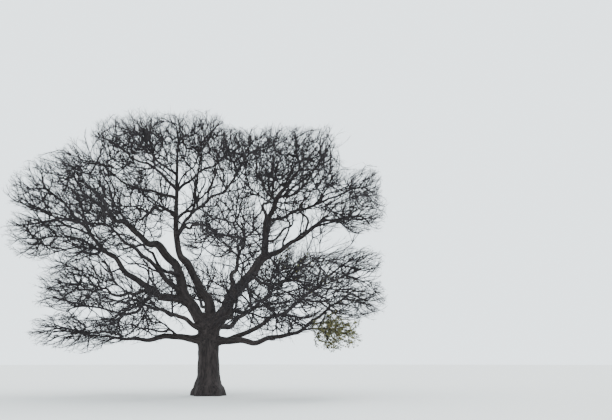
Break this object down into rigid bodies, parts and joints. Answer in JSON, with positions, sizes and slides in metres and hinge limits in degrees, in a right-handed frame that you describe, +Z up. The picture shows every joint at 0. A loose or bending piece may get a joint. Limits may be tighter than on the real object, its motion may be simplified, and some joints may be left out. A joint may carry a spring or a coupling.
{
  "type": "hackberry tree",
  "caption": "Old bare hackberry tree in winter: thick flared trunk, rising leaders, level lower boughs and a wide dome of fine twigs, fixed at a flat cut at ground level.",
  "frame": {"origin": "middle of the flat cut under the trunk, at ground level", "axes": "+Z up the trunk, +X to the right of the picture along the crown's greatest width, +Y away from the viewer"},
  "size_m": [18.8179, 16.579, 14.7726],
  "materials": {
    "trunk_bark": "rough dark grey-brown bark, furrowed at the foot",
    "bough_bark": "smoother dark grey-brown bark with small warts",
    "twigs": "fine matt grey-brown twigs",
    "leafy_twigs": "matt olive leaves that linger on fine twigs"
  },
  "bodies": {
    "root": {"trunk": "trunk_bark", "bough_leader_left": "bough_bark", "bough_leader_centre": "bough_bark", "bough_leader_right": "bough_bark", "bough_low_right": "bough_bark", "bough_low_left": "bough_bark", "bough_front_left": "bough_bark", "bough_front_right": "bough_bark", "bough_back_right": "bough_bark", "bough_rising_right": "bough_bark", "bough_drooping_right": "bough_bark", "bough_mid_left": "bough_bark", "bough_level_left": "bough_bark", "bough_hanging_left": "bough_bark", "bough_far_left": "bough_bark", "bough_upper_left": "bough_bark", "bough_inner_left": "bough_bark", "bough_high_left": "bough_bark", "bough_top_left": "bough_bark", "bough_top_front": "bough_bark", "bough_top_right": "bough_bark", "bough_long_right": "bough_bark", "bough_back_top": "bough_bark", "bough_small_front": "bough_bark", "bough_back_centre": "bough_bark", "bough_outer_right": "bough_bark", "bough_centre_right": "bough_bark", "bough_reaching_right": "bough_bark", "bough_high_right": "bough_bark", "bough_under_right": "bough_bark", "twigs_leader_left": "twigs", "twigs_leader_centre": "twigs", "twigs_leader_right": "twigs", "twigs_low_right": "twigs", "twigs_low_left": "twigs", "twigs_front_left": "twigs", "twigs_front_right": "twigs", "twigs_back_right": "twigs", "twigs_rising_right": "twigs", "twigs_drooping_right": "leafy_twigs", "twigs_mid_left": "twigs", "twigs_level_left": "twigs", "twigs_hanging_left": "twigs", "twigs_far_left": "twigs", "twigs_upper_left": "twigs", "twigs_inner_left": "twigs", "twigs_high_left": "twigs", "twigs_top_left": "twigs", "twigs_top_front": "twigs", "twigs_top_right": "twigs", "twigs_long_right": "twigs", "twigs_back_top": "twigs", "twigs_small_front": "twigs", "twigs_back_centre": "twigs", "twigs_outer_right": "twigs", "twigs_centre_right": "twigs", "twigs_reaching_right": "twigs", "twigs_high_right": "twigs", "twigs_under_right": "twigs", "twigs_low_back": "twigs"}
  },
  "joints": []
}
